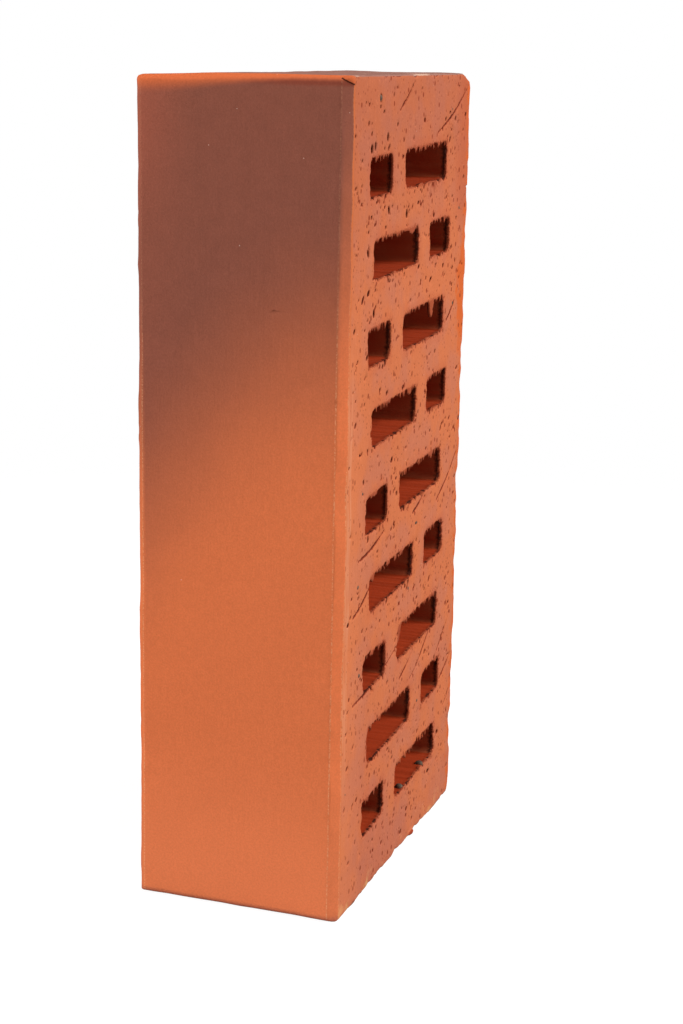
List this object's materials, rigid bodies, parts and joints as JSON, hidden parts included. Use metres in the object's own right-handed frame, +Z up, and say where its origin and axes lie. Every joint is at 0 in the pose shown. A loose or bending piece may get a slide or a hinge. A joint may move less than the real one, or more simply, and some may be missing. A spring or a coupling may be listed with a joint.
{
  "type": "perforated facing brick",
  "caption": "Perforated fired-clay facing brick with a smooth flashed stretcher face, bevelled edges and staggered slots through its bed faces.",
  "frame": {"origin": "centre of the end face that the brick stands on", "axes": "+Z up along the 250 mm length, -Y out of the finished stretcher face, +X and -X out of the two perforated bed faces"},
  "size_m": [0.065, 0.12, 0.25],
  "materials": {
    "fired_clay": "matte fired clay, orange-red, flashed to brown towards the top, sandy on the finished faces and wire-cut on the bed faces",
    "grit_stone": "matte grey grit"
  },
  "bodies": {
    "root": {"brick_body": "fired_clay", "grit_stones": "grit_stone"}
  },
  "joints": []
}
